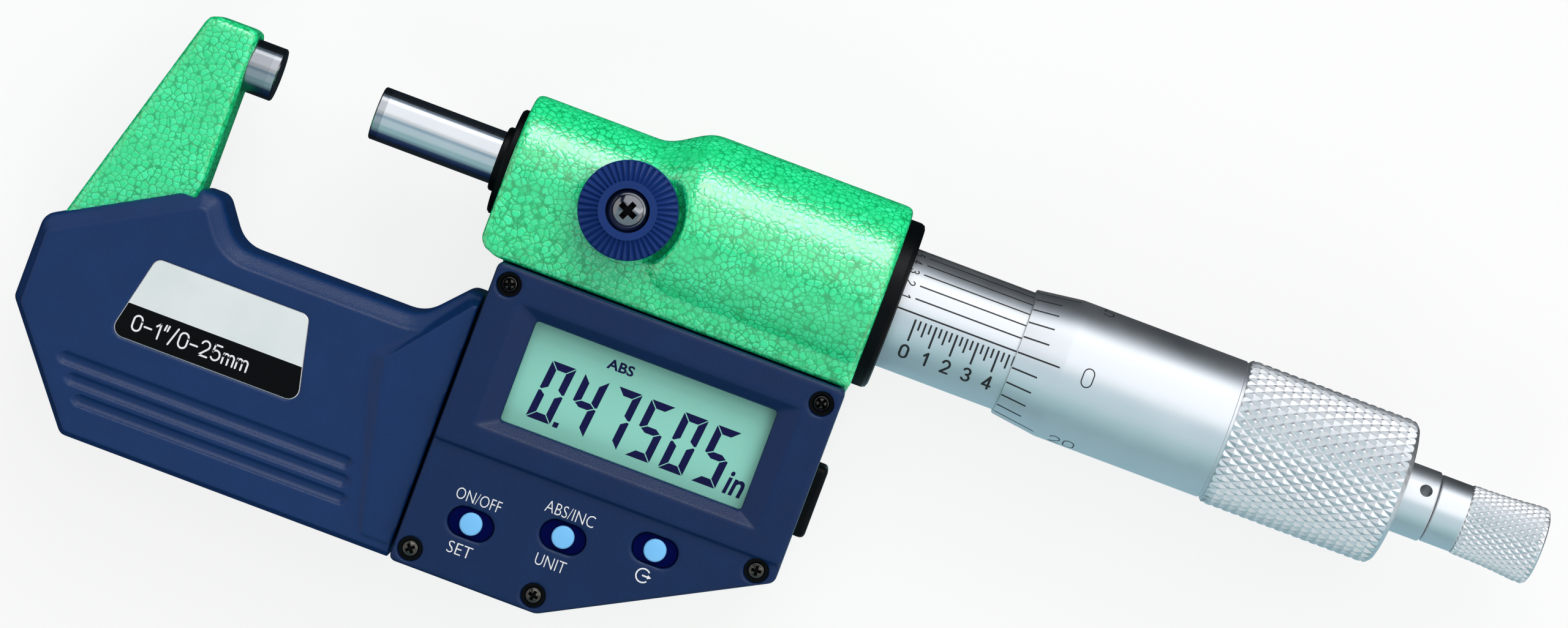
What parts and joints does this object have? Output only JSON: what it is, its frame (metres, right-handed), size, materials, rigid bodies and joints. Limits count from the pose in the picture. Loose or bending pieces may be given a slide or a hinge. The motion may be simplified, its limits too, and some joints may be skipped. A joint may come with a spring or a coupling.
{
  "type": "outside micrometer",
  "caption": "Digital outside micrometer: C-shaped frame with grip covers, display and keys, graduated sleeve, knurled thimble, ratchet and lock. Turning the thimble moves the spindle.",
  "frame": {"origin": "middle of the anvil's measuring face, on the spindle axis", "axes": "+X along the spindle from the anvil to the ratchet, +Y away from the grip, +Z out of the display"},
  "size_m": [0.1747, 0.0588, 0.024],
  "materials": {
    "green_paint": "hammered gloss",
    "grip_plastic": "fine texture",
    "cover_plastic": "fine texture",
    "knob_plastic": "moulded",
    "black_plastic": "satin",
    "key_plastic": "satin",
    "keypad_rubber": "matt",
    "seal_rubber": "matt",
    "satin_chrome": "satin",
    "ground_steel": "ground",
    "dark_steel": "polished",
    "black_steel": "blackened",
    "carbide": "lapped",
    "brass": "turned",
    "plate_aluminium": "satin",
    "window": "clear",
    "lcd": "matt polariser",
    "board": "solder mask"
  },
  "bodies": {
    "frame_body": {"frame": "green_paint", "anvil": "ground_steel", "anvil_tip": "carbide", "grip_front": "grip_plastic", "grip_back": "grip_plastic", "range_plate": "plate_aluminium", "display_cover": "cover_plastic", "display_window": "window", "lcd_panel": "lcd", "lcd_connectors": "seal_rubber", "circuit_board": "board", "keypad": "keypad_rubber", "key_switches": "dark_steel", "cover_screws": "black_steel", "cover_gasket": "seal_rubber", "battery": "ground_steel", "battery_contact": "brass", "port_socket": "black_plastic", "seal_cap": "black_plastic", "wiper_seal": "seal_rubber", "spindle_bush": "ground_steel", "lock_shoe": "brass", "stator": "board", "sensor_cable": "brass", "inner_sleeve": "ground_steel", "adjusting_nut": "dark_steel", "sleeve_ring": "black_plastic", "sleeve": "satin_chrome"},
    "rotor": {"rotor_hub": "brass", "rotor_disc": "board", "rotor_key": "dark_steel"},
    "spindle_body": {"spindle": "ground_steel", "spindle_tip": "carbide", "thimble": "satin_chrome", "ratchet_stop": "satin_chrome"},
    "ratchet": {"ratchet_knob": "satin_chrome", "ratchet_clutch": "dark_steel", "ratchet_spring": "dark_steel", "ratchet_screw": "dark_steel"},
    "lock": {"lock_knob": "knob_plastic", "lock_stem": "dark_steel", "lock_screw": "dark_steel"},
    "key_one": {"on_off_key": "key_plastic"},
    "key_two": {"abs_key": "key_plastic"},
    "key_three": {"data_key": "key_plastic"},
    "plug": {"port_plug": "black_plastic"},
    "cap": {"battery_cap": "black_plastic", "cap_seal": "seal_rubber"}
  },
  "joints": [
    {"name": "thimble_turn", "type": "hinge", "parent": "frame_body", "child": "rotor", "pos_m": [0.0595, 0, 0], "axis": [1, 0, 0], "range_deg": [-6841, 7561]},
    {"name": "spindle_travel", "type": "slide", "parent": "rotor", "child": "spindle_body", "axis": [1, 0, 0], "range_m": [-0.01206, 0.01333]},
    {"name": "ratchet_turn", "type": "hinge", "parent": "spindle_body", "child": "ratchet", "pos_m": [0.15, 0, 0], "axis": [1, 0, 0], "continuous": true},
    {"name": "lock_turn", "type": "hinge", "parent": "frame_body", "child": "lock", "pos_m": [0.04355, 0, 0.009], "axis": [0, 0, -1], "range_deg": [0, 75]},
    {"name": "on_off_press", "type": "slide", "parent": "frame_body", "child": "key_one", "axis": [0, 0, -1], "range_m": [0, 0.0005], "stiffness_N_per_m": 1500, "springref_m": -0.0002},
    {"name": "abs_press", "type": "slide", "parent": "frame_body", "child": "key_two", "axis": [0, 0, -1], "range_m": [0, 0.0005], "stiffness_N_per_m": 1500, "springref_m": -0.0002},
    {"name": "data_press", "type": "slide", "parent": "frame_body", "child": "key_three", "axis": [0, 0, -1], "range_m": [0, 0.0005], "stiffness_N_per_m": 1500, "springref_m": -0.0002},
    {"name": "plug_pull", "type": "slide", "parent": "frame_body", "child": "plug", "axis": [1, 0, 0], "range_m": [0, 0.008]},
    {"name": "cap_turn", "type": "hinge", "parent": "frame_body", "child": "cap", "pos_m": [0.0475, -0.02593, -0.0083], "axis": [0, 0, -1], "range_deg": [0, 90]}
  ],
  "couplings": [
    {"joint": "thimble_turn", "follows": "spindle_travel", "rad_per_m": 9894.8}
  ]
}
